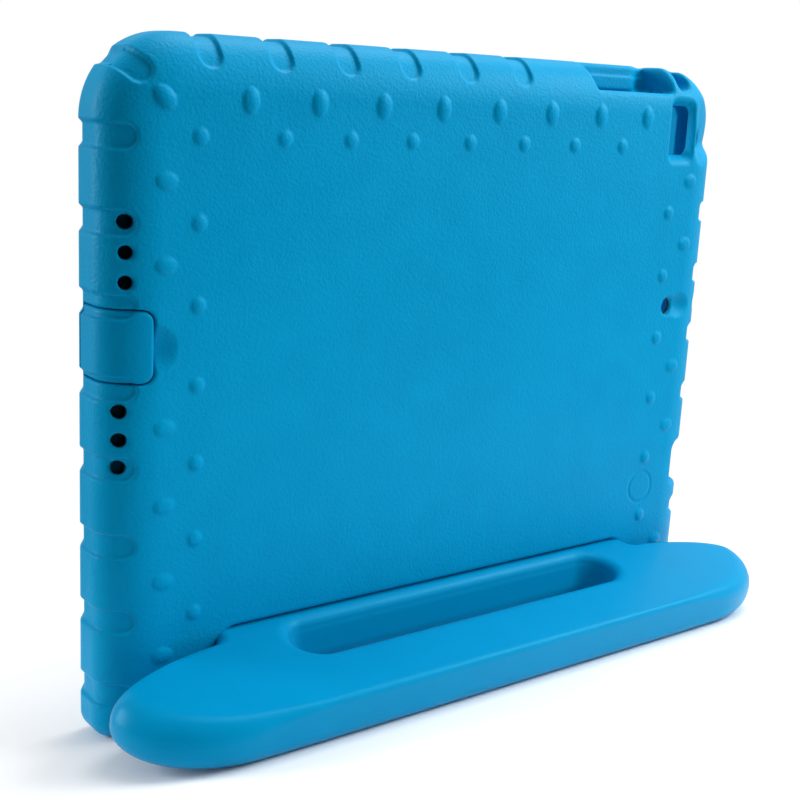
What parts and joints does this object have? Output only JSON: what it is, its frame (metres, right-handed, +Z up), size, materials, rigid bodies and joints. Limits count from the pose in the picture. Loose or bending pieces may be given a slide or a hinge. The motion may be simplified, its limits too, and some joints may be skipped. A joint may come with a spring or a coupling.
{
  "type": "tablet case",
  "caption": "Moulded foam tablet case with rim openings, a hinged port flap and a carry handle that swings out as a stand",
  "frame": {"origin": "on the floor under the centre of the whole object's bounding box, standing with the handle folded out as a stand", "axes": "+X to the right seen from behind, towards the camera window; +Y from the back panel to the screen side; +Z up"},
  "size_m": [0.2318, 0.06, 0.1799],
  "materials": {
    "shell_foam": "satin moulded closed-cell foam with a fine pebble grain",
    "flap_foam": "satin moulded closed-cell foam with a fine pebble grain",
    "handle_foam": "smooth satin moulded closed-cell foam",
    "pin_plastic": "matt moulded",
    "bush_plastic": "matt moulded"
  },
  "bodies": {
    "case": {"shell": "shell_foam", "hinge_bush_left": "bush_plastic", "hinge_bush_right": "bush_plastic"},
    "handle": {"handle": "handle_foam", "hinge_pin_left": "pin_plastic", "hinge_pin_right": "pin_plastic"},
    "flap": {"port_flap": "flap_foam"}
  },
  "joints": [
    {"name": "handle_pivot", "type": "hinge", "parent": "case", "child": "handle", "pos_m": [0, 0.02111, 0.01412], "axis": [1, 0, 0], "range_deg": [0, 80.9]},
    {"name": "flap_hinge", "type": "hinge", "parent": "case", "child": "flap", "pos_m": [-0.1094, 0.00927, 0.10552], "axis": [0, 0.166, -0.9861], "range_deg": [0, 110]}
  ]
}
